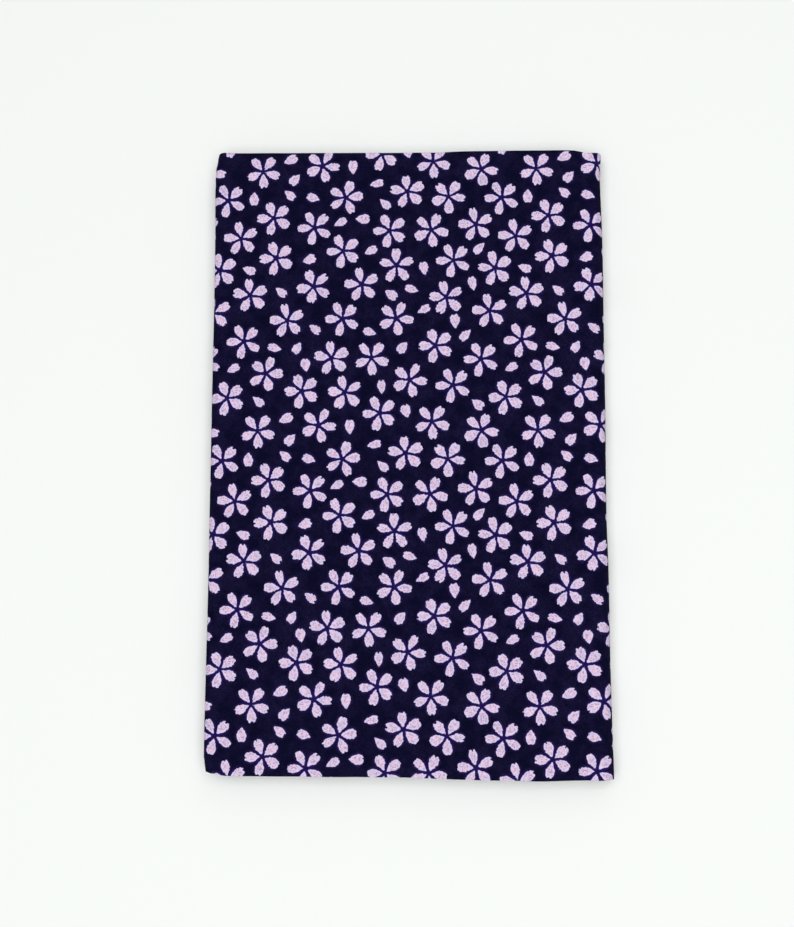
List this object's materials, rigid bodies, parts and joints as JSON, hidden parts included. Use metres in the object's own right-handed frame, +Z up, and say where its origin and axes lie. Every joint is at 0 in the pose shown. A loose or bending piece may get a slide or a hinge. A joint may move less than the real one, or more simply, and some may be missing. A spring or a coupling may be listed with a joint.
{
  "type": "folded tenugui towel",
  "caption": "Thin cotton hand towel folded flat into a small rectangular stack, matte, with a scattered cherry blossom print, resting on its underside.",
  "frame": {"origin": "middle of the underside, on the surface that the folded towel rests on", "axes": "+Z up out of the face, +Y along the long edges towards the far short end, +X across towards the spine that holds the nested folds"},
  "size_m": [0.1127, 0.1802, 0.0094],
  "materials": {
    "printed_cotton": "matte printed plain weave"
  },
  "bodies": {
    "root": {"folded_cloth": "printed_cotton"}
  },
  "joints": []
}
